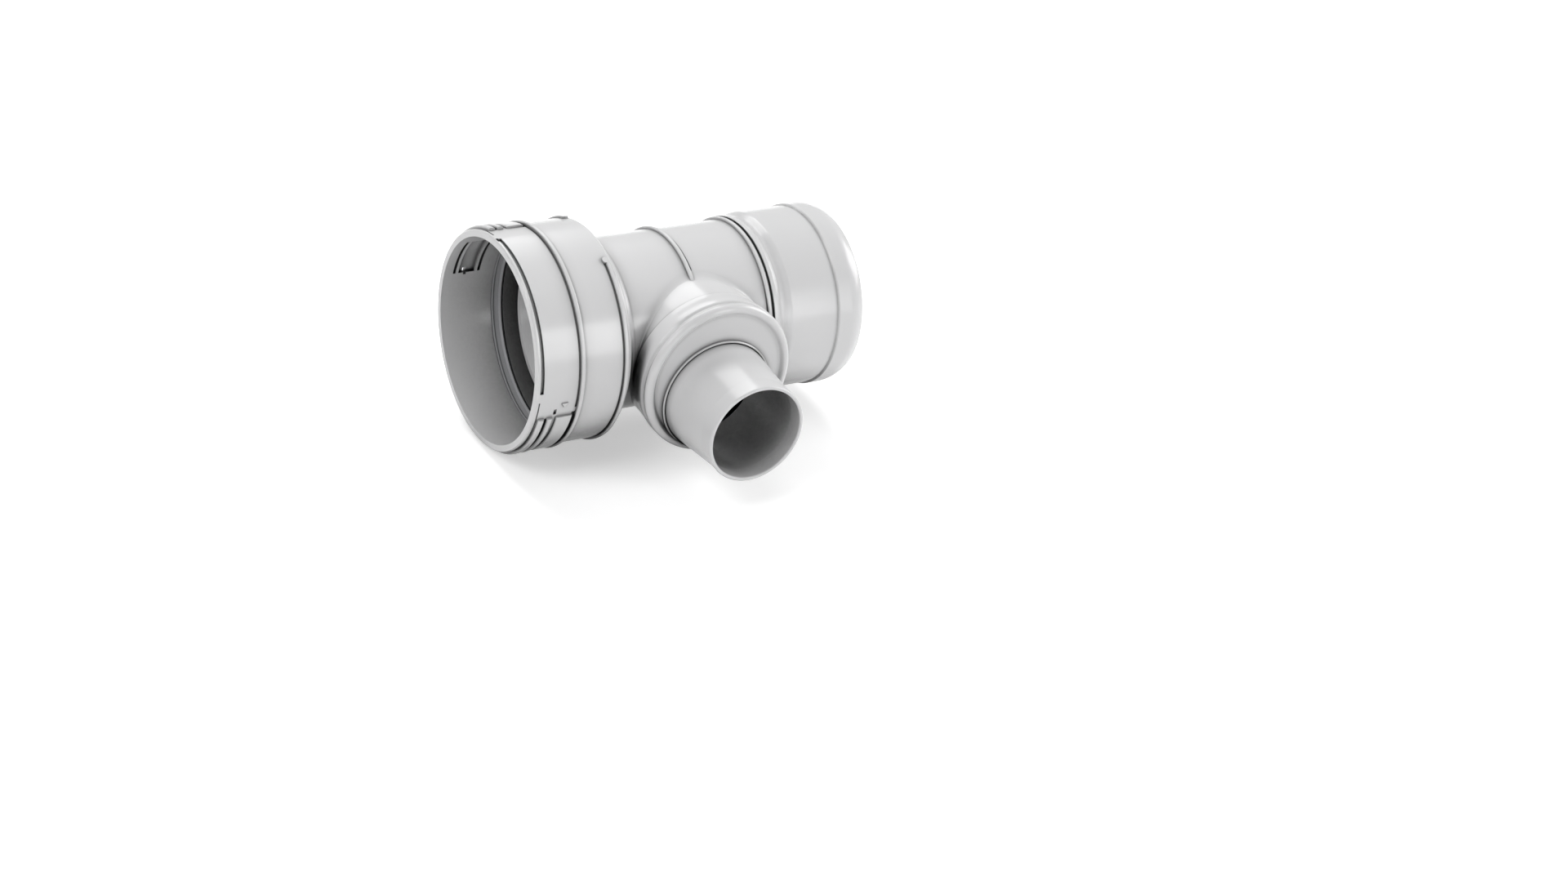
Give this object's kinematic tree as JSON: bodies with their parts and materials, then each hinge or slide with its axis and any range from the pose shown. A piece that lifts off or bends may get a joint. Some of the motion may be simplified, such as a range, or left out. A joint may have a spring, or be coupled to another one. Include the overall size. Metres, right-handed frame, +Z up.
{
  "type": "flue tee",
  "caption": "Plastic flue tee: latching bell and push-in socket on a straight run, with a low branch spigot for a smaller pipe.",
  "frame": {"origin": "centre of the bell's mouth, on the run axis", "axes": "+X along the run from the bell's mouth to the run socket, -Y along the branch to its mouth, +Z up with the spigot low on the branch"},
  "size_m": [0.2185, 0.1799, 0.1298],
  "materials": {
    "white_plastic": "satin-gloss moulded",
    "seal_rubber": "matt"
  },
  "bodies": {
    "root": {"bell_coupling": "white_plastic", "bell_seal": "seal_rubber", "tee_body": "white_plastic", "run_socket": "white_plastic", "run_seal": "seal_rubber", "branch_reducer": "white_plastic", "branch_spigot": "white_plastic"}
  },
  "joints": []
}
